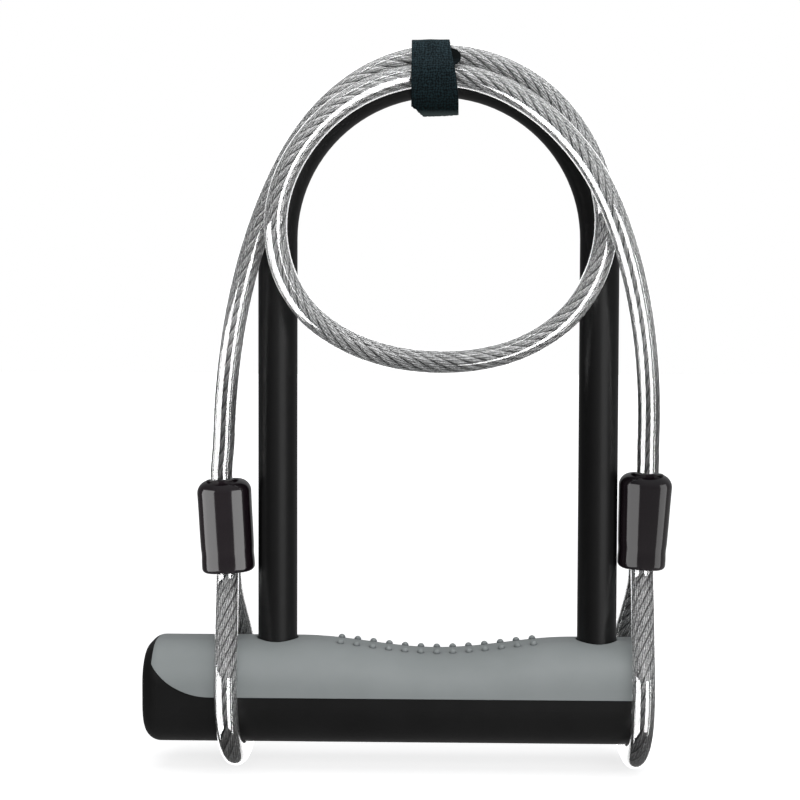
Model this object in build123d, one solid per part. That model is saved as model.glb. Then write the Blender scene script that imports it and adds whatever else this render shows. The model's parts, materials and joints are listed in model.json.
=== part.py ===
from build123d import *
import math
import os

os.makedirs("parts", exist_ok=True)

# U lock with a coiled security cable, closed and with the bolts withdrawn.
# Row frame: X along the crossbar (+X to the plain end, -X to the key end), Y to the rear,
# Z up along the shackle legs. Origin on the crossbar's underside, in the mid-plane between
# the two shackle legs. Millimetres.

# ---------------------------------------------------------------- shared dimensions
BAR_X0, BAR_X1 = -107.7, 79.5      # key end and plain end of the crossbar
BAR_W, BAR_H = 37.0, 38.0          # crossbar depth (Y) and height (Z)
BAR_R = 15.0                       # section corner radius
AXIS_Z = BAR_H / 2                 # crossbar axis above the underside

TUBE_R, TUBE_RI = 12.5, 9.7        # hardened tube
TUBE_X0, TUBE_X1 = -103.3, 75.5

LEG_X = 59.25                      # half of the leg pitch
LEG_R = 6.0                        # shackle steel radius
CROWN_Z = 185.75                   # centre height of the crown arc
SLEEVE_R = 7.25                    # outside of the vinyl sleeve

PLUG_Y = 3.6                       # key plug and locking shaft axis, off the tube's axis
SHAFT_R = 4.2
INSERT_R = 9.64                    # bearings and end plug inside the tube
RUN_GAP = 0.05                     # radial clearance of the turning parts

NOSE_R = 8.6                       # stepped end of the cylinder housing
NOSE_X0 = -105.5                   # outer face of the housing and the plug
PIVOT_Y, PIVOT_Z = -0.6, 26.4      # shutter pivot

CYL_PIN_X, CYL_PIN_Y = -76.7, -7.4 # cross pin through the cylinder housing
CYL_PIN_HOLE_R = 1.27
END_PIN_X = 73.0                   # cross pin through the end plug
END_PIN_HOLE_R = 1.52

CABLE_R = 4.2                      # outside of the clear sheath
SHEATH_RI = 3.12
ROPE_R = 3.0

OUT_X = -130                       # cutters start here, clear of the key end
OUT_Z = 40                         # cutters stop here, above the crossbar
SIDES = (("left", -1), ("right", 1))


# ---------------------------------------------------------------- helpers
def cyl_x(r, x0, x1, y=0.0, z=AXIS_Z):
    return Pos((x0 + x1) / 2, y, z) * Rot(0, 90, 0) * Cylinder(r, x1 - x0)


def cyl_y(r, y0, y1, x, z):
    return Pos(x, (y0 + y1) / 2, z) * Rot(90, 0, 0) * Cylinder(r, y1 - y0)


def cyl_z(r, z0, z1, x=0.0, y=0.0):
    return Pos(x, y, (z0 + z1) / 2) * Cylinder(r, z1 - z0)


def cross_hole(r, x, y=0.0):
    """Vertical cutter through the whole height of the crossbar."""
    return cyl_z(r, 0, OUT_Z, x, y)


def box(x0, x1, y0, y1, z0, z1):
    return Pos((x0 + x1) / 2, (y0 + y1) / 2, (z0 + z1) / 2) * Box(x1 - x0, y1 - y0, z1 - z0)


def box_about(x0, x1, half_y, half_z):
    """Box centred on the plug's axis."""
    return box(x0, x1, PLUG_Y - half_y, PLUG_Y + half_y, AXIS_Z - half_z, AXIS_Z + half_z)


def yz_plane(x, z=0.0):
    return Plane(origin=(x, 0, z), x_dir=(0, 1, 0), z_dir=(1, 0, 0))


def save(name, shape):
    shape.label = name
    export_step(shape, f"parts/{name}.step")


# ---------------------------------------------------------------- crossbar covers
BAR_END_R = 6.0                    # rounding of the two end edges
DIP = 4.3                          # depth of the grip scoop
DIP_X, DIP_HALF = 0.0, 51.0        # middle and half length of the scoop
DIP_STEPS = 12                     # loft steps along the scoop

SKIN = 1.7                         # thickness of the grey cover
SKIN_GAP = 0.05                    # clearance under the grey cover
END_WALL = 3.0                     # grey cover's wall at the plain end
CORE_END = 0.5                     # black wall left at the key end
SEAM = 0.10                        # parting gap between grey and black covers
SEAM_Z = 19.1                      # parting line height
LEAF_X, LEAF_R = -82.4, 25.73      # where the leaf arc leaves the parting line, its radius
LEAF_ANG = 213.3                   # direction of the leaf corner from the arc's centre
LEAF_TOP_X, LEAF_TOP_Z = -103.5, 50  # upper end of the leaf's sloping edge, above the bar
LEAF_X1 = 95                       # beyond the plain end

BUMP_N, BUMP_PITCH = 13, 5.94      # grip bumps per row
BUMP_ANGLE = 82.3                  # row on each rounded shoulder, degrees above horizontal
BUMP_R, BUMP_H = 1.32, 1.3         # bump radius at the surface, and height
BUMP_STEM = 0.7                    # depth of the stem below the surface

COVER_BORE = 12.6                  # bore of the covers round the tube
LEG_HOLE_R = 7.75                  # hole in the covers
RECESS_R, RECESS_X = 10.6, -105.6  # round recess in the key end, and its floor


def dip(x):
    """Depth of the scoop at x."""
    t = (x - DIP_X) / DIP_HALF
    return DIP * math.cos(math.pi * t / 2) ** 2 if abs(t) < 1 else 0.0


def section(x, inset=0.0):
    """Rounded crossbar section at x, pulled in by inset all round."""
    top = BAR_H - dip(x) - inset
    outline = RectangleRounded(BAR_W - 2 * inset, top - inset, BAR_R - inset)
    return yz_plane(x, (top + inset) / 2) * outline


def bar(x0, x1, inset=0.0, end_r=0.0):
    """The crossbar's body with its scoop, between x0 and x1."""
    dip_x0, dip_x1 = DIP_X - DIP_HALF, DIP_X + DIP_HALF
    left = extrude(section(x0, inset), dip_x0 - x0)
    right = extrude(section(dip_x1, inset), x1 - dip_x1)
    if end_r:
        left = fillet(left.edges().group_by(Axis.X)[0], end_r)
        right = fillet(right.edges().group_by(Axis.X)[-1], end_r)
    middle = loft([section(dip_x0 + (dip_x1 - dip_x0) * i / DIP_STEPS, inset)
                   for i in range(DIP_STEPS + 1)])
    return left + middle + right


def leaf(grow):
    """Zone of the grey cover: its outline seen from the front, grown by grow."""
    radius = LEAF_R + grow

    def at(deg):
        a = math.radians(deg)
        return (LEAF_X + radius * math.cos(a), 0, SEAM_Z + LEAF_R + radius * math.sin(a))

    corner = at(LEAF_ANG)
    top_left = (LEAF_TOP_X - grow, 0, LEAF_TOP_Z)
    top_right = (LEAF_X1, 0, LEAF_TOP_Z)
    low_right = (LEAF_X1, 0, SEAM_Z - grow)
    edges = [
        ThreePointArc(at(270), at((270 + LEAF_ANG) / 2), corner),
        Line(corner, top_left),
        Line(top_left, top_right),
        Line(top_right, low_right),
        Line(low_right, at(270)),
    ]
    return extrude(make_face(Wire(edges)), 30, dir=(0, 1, 0), both=True)


def grip_bump():
    """A dome on a short stem, pointing along +Z from the surface."""
    dome_r = (BUMP_R ** 2 + BUMP_H ** 2) / (2 * BUMP_H)
    bump = Pos(0, 0, BUMP_H - dome_r) * Sphere(dome_r)
    bump = bump & (Pos(0, 0, 1.0) * Box(6, 6, 2.0))
    return bump + Pos(0, 0, -BUMP_STEM / 2 + 0.01) * Cylinder(BUMP_R, BUMP_STEM + 0.02)


def grip_bumps():
    """Two rows of bumps, front and rear, square to the scooped surface."""
    bump = grip_bump()
    a = math.radians(BUMP_ANGLE)
    bumps = []
    for i in range(BUMP_N):
        x = (i - (BUMP_N - 1) / 2) * BUMP_PITCH
        z = BAR_H - dip(x) - BAR_R + BAR_R * math.sin(a)
        slope = math.degrees(math.atan((dip(x + 0.05) - dip(x - 0.05)) / 0.1))
        for side in (-1, 1):
            y = side * (BAR_W / 2 - BAR_R + BAR_R * math.cos(a))
            lean = side * -(90 - BUMP_ANGLE)
            bumps.append(Pos(x, y, z) * Rot(0, slope * math.sin(a), 0) * Rot(lean, 0, 0) * bump)
    return bumps


def cover_openings():
    """Tube bore and the pair of leg holes, cut from both covers."""
    bore = cyl_x(COVER_BORE, TUBE_X0 - 0.1, 90)
    legs = cyl_z(LEG_HOLE_R, 22, 60, -LEG_X) + cyl_z(LEG_HOLE_R, 22, 60, LEG_X)
    return bore, legs


def grip_cover(outer, bumps):
    bore, legs = cover_openings()
    inside = bar(OUT_X, BAR_X1 - END_WALL, SKIN)
    return (outer & leaf(0.0)) - inside - bore - legs + bumps


def body_cover(outer, bumps):
    bore, legs = cover_openings()
    core = bar(BAR_X0 + CORE_END, BAR_X1 - END_WALL - SKIN_GAP, SKIN + SKIN_GAP)
    cover = outer - (leaf(SEAM) - core) - bore - legs
    cover = cover - cyl_x(RECESS_R, OUT_X, RECESS_X) - cyl_x(NOSE_R + 0.1, OUT_X, -100)
    return cover - bumps


def end_cap():
    """Disc in the plain end, with a ring groove in its outer face."""
    x1 = BAR_X1 - 0.5
    cap = cyl_x(12.5, TUBE_X1 + 0.2, x1)
    cap = chamfer(cap.edges().group_by(Axis.X)[-1], 0.4)
    return cap - (cyl_x(9.5, x1 - 0.5, 85) - cyl_x(8.7, x1 - 0.5, 85))


# ---------------------------------------------------------------- tube and leg seals
TUBE_HOLE_R = 6.3                  # leg hole in the tube
SEAL_Z0, SEAL_Z1 = 31.7, 34.3
SEAL_R, SEAL_RI = 7.65, 6.12
SEAL_STEP_R, SEAL_STEP_Z = 6.9, 33.5  # counterbore in the top of the seal


def crossbar_tube():
    tube = cyl_x(TUBE_R, TUBE_X0, TUBE_X1) - cyl_x(TUBE_RI, TUBE_X0 - 1, TUBE_X1 + 1)
    for _, side in SIDES:
        tube = tube - cyl_z(TUBE_HOLE_R, AXIS_Z, OUT_Z, side * LEG_X)
    tube = tube - cross_hole(END_PIN_HOLE_R, END_PIN_X)
    return tube - cross_hole(CYL_PIN_HOLE_R, CYL_PIN_X, CYL_PIN_Y)


def leg_seal(side):
    x = side * LEG_X
    ring = cyl_z(SEAL_R, SEAL_Z0, SEAL_Z1, x) - cross_hole(SEAL_RI, x)
    return ring - cyl_z(SEAL_STEP_R, SEAL_STEP_Z, OUT_Z, x)


# ---------------------------------------------------------------- key cylinder
HOUSING_R, HOUSING_X1 = 9.6, -73.6
PLUG_R, PLUG_X1 = 4.7, -73.4
NECK_R, NECK_X1 = 3.0, -71.5       # neck behind the plug
TONGUE_X1 = -68.2                  # flat tongue that turns the locking shaft
TONGUE_W, TONGUE_T = 2.9, 1.0      # its half width and half thickness
KEYHOLE_L, KEYHOLE_W = 7.4, 2.2    # key slot in the plug
KEYWAY_X1 = -79.2                  # inner end of the key slot

PIN_XS = [-98.7 + 4.3 * i for i in range(5)]
PIN_R, WELL_R = 1.18, 1.25
KEY_PIN_Y = PLUG_Y - 4.45          # front end of the key pins
KEY_PIN_L = (3.0, 2.2, 3.4, 2.6, 1.9)
DRIVER_Y = PLUG_Y - 4.95           # rear end of the driver pins
DRIVER_L = 3.0


def cylinder_housing():
    housing = cyl_x(HOUSING_R, TUBE_X0, HOUSING_X1) + cyl_x(NOSE_R, NOSE_X0, TUBE_X0)
    housing = housing - cyl_x(PLUG_R + RUN_GAP, OUT_X, -70, PLUG_Y)
    housing = housing - [cyl_y(WELL_R, -9.0, PLUG_Y - 3.0, x, AXIS_Z) for x in PIN_XS]
    housing = housing - cross_hole(CYL_PIN_HOLE_R, CYL_PIN_X, CYL_PIN_Y)
    return housing - cyl_x(0.92, OUT_X, -103.7, PIVOT_Y, PIVOT_Z)


def hollow_pin(r, bore_r, half_length, x, y=0.0):
    """Vertical cross pin, hollow, centred on the crossbar axis height."""
    return cyl_z(r, AXIS_Z - half_length, AXIS_Z + half_length, x, y) - cross_hole(bore_r, x, y)


def key_plug():
    plug = cyl_x(PLUG_R, NOSE_X0, PLUG_X1, PLUG_Y) + cyl_x(NECK_R, PLUG_X1, NECK_X1, PLUG_Y)
    plug = plug + box_about(NECK_X1 - 0.1, TONGUE_X1, TONGUE_W, TONGUE_T)
    keyway = box(OUT_X, KEYWAY_X1, PLUG_Y - KEYHOLE_L / 2, PLUG_Y + KEYHOLE_L / 2 - 0.6,
                 AXIS_Z - KEYHOLE_W / 2, AXIS_Z + KEYHOLE_W / 2)
    keyway = keyway + box(OUT_X, KEYWAY_X1, PLUG_Y + 0.6, PLUG_Y + 2.0,
                          AXIS_Z - 1.9, AXIS_Z + 1.9)
    return plug - keyway - [cyl_y(WELL_R, -3.0, PLUG_Y - 0.2, x, AXIS_Z) for x in PIN_XS]


def key_pins():
    pins = []
    for x, length in zip(PIN_XS, KEY_PIN_L):
        pin = cyl_y(PIN_R, KEY_PIN_Y + 0.5, KEY_PIN_Y + length, x, AXIS_Z)
        pin = pin + cyl_y(PIN_R, KEY_PIN_Y, KEY_PIN_Y + 0.6, x, AXIS_Z)
        pins.append(pin.solid())
    return Compound(children=pins)


def driver_pins():
    pins = [chamfer(cyl_y(PIN_R, DRIVER_Y - DRIVER_L, DRIVER_Y, x, AXIS_Z).edges(), 0.2)
            for x in PIN_XS]
    return Compound(children=[pin.solid() for pin in pins])


def driver_springs():
    springs = []
    for x in PIN_XS:
        helix = Helix(pitch=0.85, height=3.4, radius=0.88)
        wire = sweep(Plane(origin=helix @ 0, z_dir=helix % 0) * Circle(0.17), path=helix)
        spring = Pos(x, DRIVER_Y - DRIVER_L - 0.2, AXIS_Z) * Rot(90, 0, 0) * wire
        springs.append(spring.solid())
    return Compound(children=springs)


def plug_clip():
    """Slotted washer on the plug's neck, open to the front."""
    clip = cyl_x(5.8, -73.2, -72.4, PLUG_Y) - cyl_x(NECK_R + 0.03, -75, -70, PLUG_Y)
    return clip - box(-75, -70, PLUG_Y - 6, PLUG_Y, AXIS_Z - 1.2, AXIS_Z + 1.2)


# ---------------------------------------------------------------- locking shaft
SHAFT_X0, SHAFT_X1 = -70.4, 69.8
FLAT_Y = 6.1                       # flat of the locking shaft with the bolts withdrawn
FLAT_HALF = 6.6                    # half length of each flat
BEARING_L = 7
LEFT_BEARING_X, RIGHT_BEARING_X = -49.0, 42.0
END_PLUG_X0, END_PLUG_X1 = 66.0, 75.4


def locking_shaft():
    shaft = cyl_x(SHAFT_R, SHAFT_X0, SHAFT_X1, PLUG_Y)
    for _, side in SIDES:
        x = side * LEG_X
        shaft = shaft - box(x - FLAT_HALF, x + FLAT_HALF, PLUG_Y - 6, FLAT_Y,
                            AXIS_Z - 6, AXIS_Z + 6)
    # slot for the plug's tongue
    return shaft - box_about(-72, TONGUE_X1 + 0.1, TONGUE_W + 0.1, TONGUE_T + 0.1)


def shaft_bearing(x0):
    x1 = x0 + BEARING_L
    return cyl_x(INSERT_R, x0, x1) - cyl_x(SHAFT_R + RUN_GAP, x0 - 1, x1 + 1, PLUG_Y)


def end_plug():
    plug = cyl_x(INSERT_R, END_PLUG_X0, END_PLUG_X1)
    plug = plug - cyl_x(SHAFT_R + RUN_GAP, 60, SHAFT_X1 + 0.4, PLUG_Y)
    return plug - cross_hole(END_PIN_HOLE_R, END_PIN_X)


# ---------------------------------------------------------------- keyhole shutter
SHUTTER_X0, SHUTTER_X1 = -106.8, -105.8
SHUTTER_R = 4.6
SHUTTER_EYE_R = 2.2                # round end at the pivot
ARM_HALF_0, ARM_HALF_1 = 3.6, 2.0  # half width of the arm at the disc and at the pivot
RIB_Y = PLUG_Y + 2.4


def keyhole_shutter():
    shutter = (cyl_x(SHUTTER_R, SHUTTER_X0, SHUTTER_X1, PLUG_Y)
               + cyl_x(SHUTTER_EYE_R, SHUTTER_X0, SHUTTER_X1, PIVOT_Y, PIVOT_Z))
    angle = math.atan2(PIVOT_Z - AXIS_Z, PIVOT_Y - PLUG_Y)
    across_y, across_z = -math.sin(angle), math.cos(angle)
    corners = [(y + across_y * half, z + across_z * half) for y, z, half in (
        (PLUG_Y, AXIS_Z, ARM_HALF_0), (PIVOT_Y, PIVOT_Z, ARM_HALF_1),
        (PIVOT_Y, PIVOT_Z, -ARM_HALF_1), (PLUG_Y, AXIS_Z, -ARM_HALF_0))]
    arm = make_face(Polyline(*corners, close=True))
    shutter = shutter + extrude(yz_plane(SHUTTER_X0) * arm, SHUTTER_X1 - SHUTTER_X0)
    shutter = shutter - cyl_x(0.95, OUT_X, -100, PIVOT_Y, PIVOT_Z)
    # thumb rib on the free edge
    return shutter + box(SHUTTER_X0 - 0.5, SHUTTER_X0 + 0.2, RIB_Y - 0.5, RIB_Y + 0.5,
                         AXIS_Z - 3.0, AXIS_Z + 1.6)


def shutter_rivet():
    shank = cyl_x(0.9, -107.1, -104.0, PIVOT_Y, PIVOT_Z)
    return shank + cyl_x(1.7, -107.4, -106.9, PIVOT_Y, PIVOT_Z)


# ---------------------------------------------------------------- shackle
LEG_Z0 = 11.5                      # underside of the legs
SLEEVE_Z0 = 36.0                   # lower end of the sleeve
NOTCH_R = 4.3                      # half-round notch in the rear of each leg


def sweep_bow(r, z0):
    """Round bar along the U, with both legs starting at z0."""
    path = Wire([
        Line((-LEG_X, 0, z0), (-LEG_X, 0, CROWN_Z)),
        ThreePointArc((-LEG_X, 0, CROWN_Z), (0, 0, CROWN_Z + LEG_X), (LEG_X, 0, CROWN_Z)),
        Line((LEG_X, 0, CROWN_Z), (LEG_X, 0, z0)),
    ])
    return sweep(Plane(origin=path @ 0, z_dir=path % 0) * Circle(r), path=path)


def shackle_bow():
    bow = sweep_bow(LEG_R, LEG_Z0)
    rims = [e for e in bow.edges().filter_by(GeomType.CIRCLE) if e.center().Z < LEG_Z0 + 0.1]
    bow = chamfer(rims, 1.0)
    for _, side in SIDES:
        bow = bow - cyl_x(NOTCH_R, side * LEG_X - 8, side * LEG_X + 8, PLUG_Y)
    return bow


def shackle_sleeve():
    return sweep_bow(SLEEVE_R, SLEEVE_Z0) - sweep_bow(LEG_R + 0.02, SLEEVE_Z0)


# ---------------------------------------------------------------- cable coil
# Centreline (x, y, z) of the cable that stays with the shackle: up the left side, over the
# crown, once round the coil, over the crown again, across and down the right side.
COIL = [
    (-77.86, -5.44, 126.16), (-77.07, -6.05, 135.07), (-76.00, -6.72, 143.90),
    (-74.64, -7.41, 152.67), (-72.97, -8.07, 161.37), (-70.98, -8.65, 169.99),
    (-68.65, -9.16, 178.56), (-65.96, -9.73, 187.04), (-62.84, -10.68, 195.36),
    (-59.37, -11.26, 203.48), (-55.54, -11.46, 211.35), (-51.23, -11.49, 218.86),
    (-46.26, -11.45, 225.95), (-40.46, -11.33, 232.52), (-33.81, -11.11, 238.41),
    (-26.48, -10.81, 243.40), (-18.58, -10.46, 247.24), (-10.26, -10.15, 249.77),
    (-1.66, -9.90, 250.92), (7.05, -9.94, 250.64), (15.66, -10.12, 249.04),
    (23.96, -10.21, 246.15), (31.74, -10.36, 242.07), (38.77, -10.61, 236.84),
    (44.92, -10.91, 230.59), (50.15, -11.17, 223.50), (54.40, -11.35, 215.76),
    (57.63, -11.48, 207.52), (59.69, -11.60, 198.96), (60.30, -11.73, 190.22),
    (59.34, -11.80, 181.54), (56.89, -11.79, 173.18), (53.03, -11.68, 165.42),
    (47.87, -11.44, 158.52), (41.55, -11.14, 152.72), (34.23, -10.90, 148.07),
    (26.15, -10.86, 144.60), (17.52, -11.09, 142.31), (8.60, -11.55, 141.07),
    (-0.40, -12.13, 140.81), (-9.28, -12.66, 141.42), (-17.93, -13.32, 142.97),
    (-26.31, -14.00, 145.50), (-34.32, -14.72, 149.10), (-41.59, -15.48, 153.81),
    (-47.82, -16.27, 159.73), (-52.69, -17.06, 166.79), (-56.11, -17.76, 174.73),
    (-58.00, -18.26, 183.20), (-58.30, -18.59, 191.88), (-56.91, -19.01, 200.40),
    (-53.99, -19.50, 208.57), (-49.81, -19.57, 216.20), (-44.59, -19.37, 223.14),
    (-38.50, -18.95, 229.20), (-31.61, -18.25, 234.32), (-24.00, -17.26, 238.45),
    (-15.78, -16.08, 241.49), (-7.15, -14.99, 243.31), (1.59, -14.60, 243.75),
    (10.20, -14.92, 242.72), (18.45, -15.65, 240.29), (26.27, -16.59, 236.66),
    (33.59, -17.60, 231.99), (40.35, -18.61, 226.44), (46.46, -19.50, 220.16),
    (51.88, -20.18, 213.31), (56.54, -20.55, 206.03), (60.44, -20.48, 198.47),
    (63.73, -19.88, 190.67), (66.66, -18.70, 182.63), (69.24, -17.04, 174.39),
    (71.48, -15.09, 165.94), (73.34, -13.02, 157.30), (74.83, -11.08, 148.52),
    (75.95, -9.08, 139.62), (76.92, -6.74, 126.16),
]


def nearest(curve, point):
    """Length fraction of the curve's nearest station to a point."""
    best, width = 0.5, 0.5
    for _ in range(7):
        us = [min(1.0, max(0.0, best + width * (k / 20 - 1))) for k in range(41)]
        best = min(us, key=lambda u: (curve @ u - point).length)
        width /= 8
    return best


def pipe(curve, radii, u0=0.0, u1=1.0, step=4.0, runs=1):
    """Round solids along part of a free curve, skinned through circles that don't twist."""
    n = runs * math.ceil(max(3, curve.length * (u1 - u0) / step) / runs)
    planes = []
    x_dir = None
    for i in range(n + 1):
        u = u0 + (u1 - u0) * i / n
        tangent = (curve % u).normalized()
        if x_dir is None:
            x_dir = tangent.cross(Vector(0.3, 1.0, 0.2)).normalized()
        else:
            x_dir = (x_dir - tangent * x_dir.dot(tangent)).normalized()
        planes.append(Plane(origin=curve @ u, x_dir=x_dir, z_dir=tangent))
    solids = []
    for r in radii:
        parts = [loft([p * Circle(r) for p in planes[k * n // runs:(k + 1) * n // runs + 1]])
                 for k in range(runs)]
        solid = parts[0]
        for part in parts[1:]:
            solid = solid + part
        solids.append(solid)
    return solids


def sheath(curve, u0, u1):
    outside, inside = pipe(curve, (CABLE_R, SHEATH_RI), u0, u1, step=3.5)
    return outside - inside


def cable_coil():
    """Sheath and rope of the coil."""
    outside, inside, rope = pipe(Spline(*COIL), (CABLE_R, SHEATH_RI, ROPE_R), step=6.0, runs=4)
    return outside - inside, rope


# ---------------------------------------------------------------- cable ends
STRAND = 4.35                      # strand offset from the boot axis, front and rear
EYE_GAP = 0.30                     # clearance of the eye round the crossbar
BEND_R = 14.0                      # bend of each strand below the boot
FERRULE_S0, FERRULE_S1 = 5.0, 29.0 # ferrule position along the boot axis
FERRULE_W = 2 * (STRAND + ROPE_R + 1.4)
FERRULE_T = 8.8
BOOT_D0, BOOT_D1 = 20.2, 20.8      # boot depth at its base and top
# stations along the boot axis where the strands run straight, top to bottom
STRAIGHT = [FERRULE_S1, 23.0, 17.0, 11.0, FERRULE_S0, 2.5]


def oval(length, width):
    """Slot outline, long in the plane's Y."""
    return Rot(0, 0, 90) * SlotOverall(length, width)


def half_loop(boot_z):
    """(y, z) points of the eye from the boot to under the crossbar, rear side, and the index
    where the strand starts straight down the bar's side.
    """
    eye_r = BAR_R + CABLE_R + EYE_GAP
    corner_y = BAR_W / 2 - BAR_R
    shoulder_z = BAR_H - BAR_R
    bend_y = STRAND + BEND_R
    span = math.hypot(bend_y - corner_y, boot_z - shoulder_z)
    lean = (math.asin((BEND_R + eye_r) / span)
            - math.atan2(bend_y - corner_y, boot_z - shoulder_z))

    def on_eye(z, a):
        return (corner_y + eye_r * math.cos(a), z + eye_r * math.sin(a))

    # bend below the boot, then a straight run tangent to the shoulder
    points = [(bend_y - BEND_R * math.cos(lean * k / 3), boot_z - BEND_R * math.sin(lean * k / 3))
              for k in range(4)]
    y0, z0 = points[-1]
    y1, z1 = on_eye(shoulder_z, lean)
    points += [(y0 + (y1 - y0) * k / 3, z0 + (z1 - z0) * k / 3) for k in (1, 2)]
    # over the shoulder, down the side and round the lower corner
    points += [on_eye(shoulder_z, lean * k / 3) for k in (3, 2, 1, 0)]
    i_side = len(points) - 1
    points += [(corner_y + eye_r, AXIS_Z), (corner_y + eye_r, BAR_R)]
    points += [on_eye(BAR_R, -math.radians(22.5 * k)) for k in (1, 2, 3, 4)]
    return points, i_side


def blend(u, a, b):
    """Smooth step from a to b."""
    u = max(0.0, min(1.0, u))
    return a + (b - a) * u * u * (3 - 2 * u)


class CableEnd:
    """Boot, ferrule, eye round the crossbar and the drop from the coil.

    x, z: base of the boot. tilt: boot axis from vertical, degrees. eye_xs: x of the eye at
    the boot, on the front side, underneath and on the rear side. drop: points above the boot.
    """

    def __init__(self, x, z, tilt, height, width0, width1, eye_xs, drop):
        t = math.radians(tilt)
        self.height = height
        self.width0, self.width1 = width0, width1
        self.dir = Vector(-math.sin(t), 0, math.cos(t))
        self.base = Vector(x, 0, z)
        self.plane = Plane(origin=self.base, x_dir=(math.cos(t), 0, math.sin(t)),
                           z_dir=self.dir)
        self.eye_xs = eye_xs
        self.curve = self.centreline([Vector(*p) for p in drop])

    def at(self, s, y):
        """Point at s along the boot axis, offset to y."""
        p = self.base + self.dir * s
        return Vector(p.X, y, p.Z)

    def loop_points(self):
        """Front strand, under the crossbar, rear strand."""
        side, i_side = half_loop(self.base.Z)
        x_start, x_front, x_low, x_rear = self.eye_xs
        # distance along the half loop, for the drift along X
        dist = [0.0]
        for a, b in zip(side, side[1:]):
            dist.append(dist[-1] + math.hypot(b[0] - a[0], b[1] - a[1]))
        total = dist[-1] + BAR_W / 2 - BAR_R
        u_side = dist[i_side] / total

        def x_at(i, x_mid):
            u = dist[i] / total
            if u < u_side:
                return blend(u / u_side, x_start, x_mid)
            return blend((u - u_side) / (1 - u_side), x_mid, x_low)

        front = [Vector(x_at(i, x_front), -y, z) for i, (y, z) in enumerate(side)]
        rear = [Vector(x_at(i, x_rear), y, z) for i, (y, z) in enumerate(side)]
        return front + [Vector(x_low, 0, -CABLE_R - EYE_GAP)] + rear[::-1]

    def centreline(self, drop):
        """Down the rear strand, round the eye, up the front strand to the coil."""
        tail = [self.at(s, STRAND) for s in STRAIGHT]
        rise = [self.at(s, -STRAND)
                for s in STRAIGHT[::-1] + [self.height - 0.5, self.height + 2.0]]
        return Spline(*tail, *self.loop_points()[::-1], *rise, *drop,
                      tangents=[self.dir * -1, drop[-1] - drop[-2]])

    def rope(self):
        return pipe(self.curve, (ROPE_R,))[0]

    def eye_sheath(self):
        u0, u1 = (nearest(self.curve, self.at(FERRULE_S0 - 0.15, y)) for y in (STRAND, -STRAND))
        return sheath(self.curve, u0, u1)

    def drop_sheath(self):
        return sheath(self.curve, nearest(self.curve, self.at(FERRULE_S1 + 0.15, -STRAND)), 1.0)

    def ferrule(self):
        """Flat oval sleeve with a bore for each strand."""
        bore = Circle(ROPE_R + 0.08)
        holes = Pos(0, STRAND, 0) * bore + Pos(0, -STRAND, 0) * bore
        face = self.plane.offset(FERRULE_S0) * (oval(FERRULE_W, FERRULE_T) - holes)
        return extrude(face, FERRULE_S1 - FERRULE_S0)

    def boot(self):
        """Tapered rounded block with softly rounded shoulders."""
        low = RectangleRounded(self.width0, BOOT_D0, 7.2)
        high = RectangleRounded(self.width1, BOOT_D1, 7.6)
        solid = loft([self.plane * low, self.plane.offset(self.height) * high])
        solid = fillet(solid.faces().sort_by(Axis.Z)[-1].edges(), 4.0)
        solid = fillet(solid.faces().sort_by(Axis.Z)[0].edges(), 1.6)
        pocket = extrude(self.plane.offset(FERRULE_S0 - 0.1)
                         * oval(FERRULE_W + 0.2, FERRULE_T + 0.2), FERRULE_S1 - FERRULE_S0 + 0.2)
        mouth_r = CABLE_R + 0.25
        mouth = extrude(self.plane.offset(-5) * oval(2 * (STRAND + mouth_r), 2 * mouth_r),
                        FERRULE_S0 + 5)
        neck = extrude(self.plane.offset(FERRULE_S1)
                       * (Pos(0, -STRAND, 0) * Circle(CABLE_R + 0.12)), 30)
        return solid - pocket - mouth - neck


CABLE_ENDS = {
    "left": CableEnd(
        x=-77.5, z=62.6, tilt=3.3, height=34.2, width0=19.4, width1=20.0,
        eye_xs=(-77.5, -75.8, -73.6, -73.6),
        drop=[(-78.95, -4.56, 107.67), (-78.46, -4.92, 116.69), (-77.94, -5.40, 125.66)]),
    "right": CableEnd(
        x=75.4, z=64.8, tilt=-2.6, height=35.0, width0=17.4, width1=19.5,
        eye_xs=(75.4, 74.0, 72.6, 70.4),
        drop=[(77.04, -4.85, 108.66), (77.10, -5.58, 117.03), (76.95, -6.62, 125.31)]),
}

# ---------------------------------------------------------------- strap
STRAP_X, STRAP_W, STRAP_T = -1.8, 16.0, 1.1
STRAP_CABLE_R = CABLE_R + 0.7      # inside of the strap round each cable strand
UPPER_Y = -9.97                    # upper strand of the coil under the strap
LOWER_Y, LOWER_Z = -15.0, 243.3    # lower strand
LAP_Z1 = 251.9                     # top of the doubled part
TAIL_Z0, TAIL_Z1 = 227.55, 243.35  # hanging free end
# y, z and inside radius where the strap wraps the crown and the two strands
STRAP_RINGS = [
    (0.0, CROWN_Z + LEG_X - 0.6, SLEEVE_R + 0.95),
    (UPPER_Y, 250.4, STRAP_CABLE_R),
    (LOWER_Y, LOWER_Z, STRAP_CABLE_R),
]


def strap_hull(grow):
    edges = []
    for y, z, r in STRAP_RINGS:
        edges += (Pos(y, z) * Circle(r + grow)).edges()
    return make_hull(edges)


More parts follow.
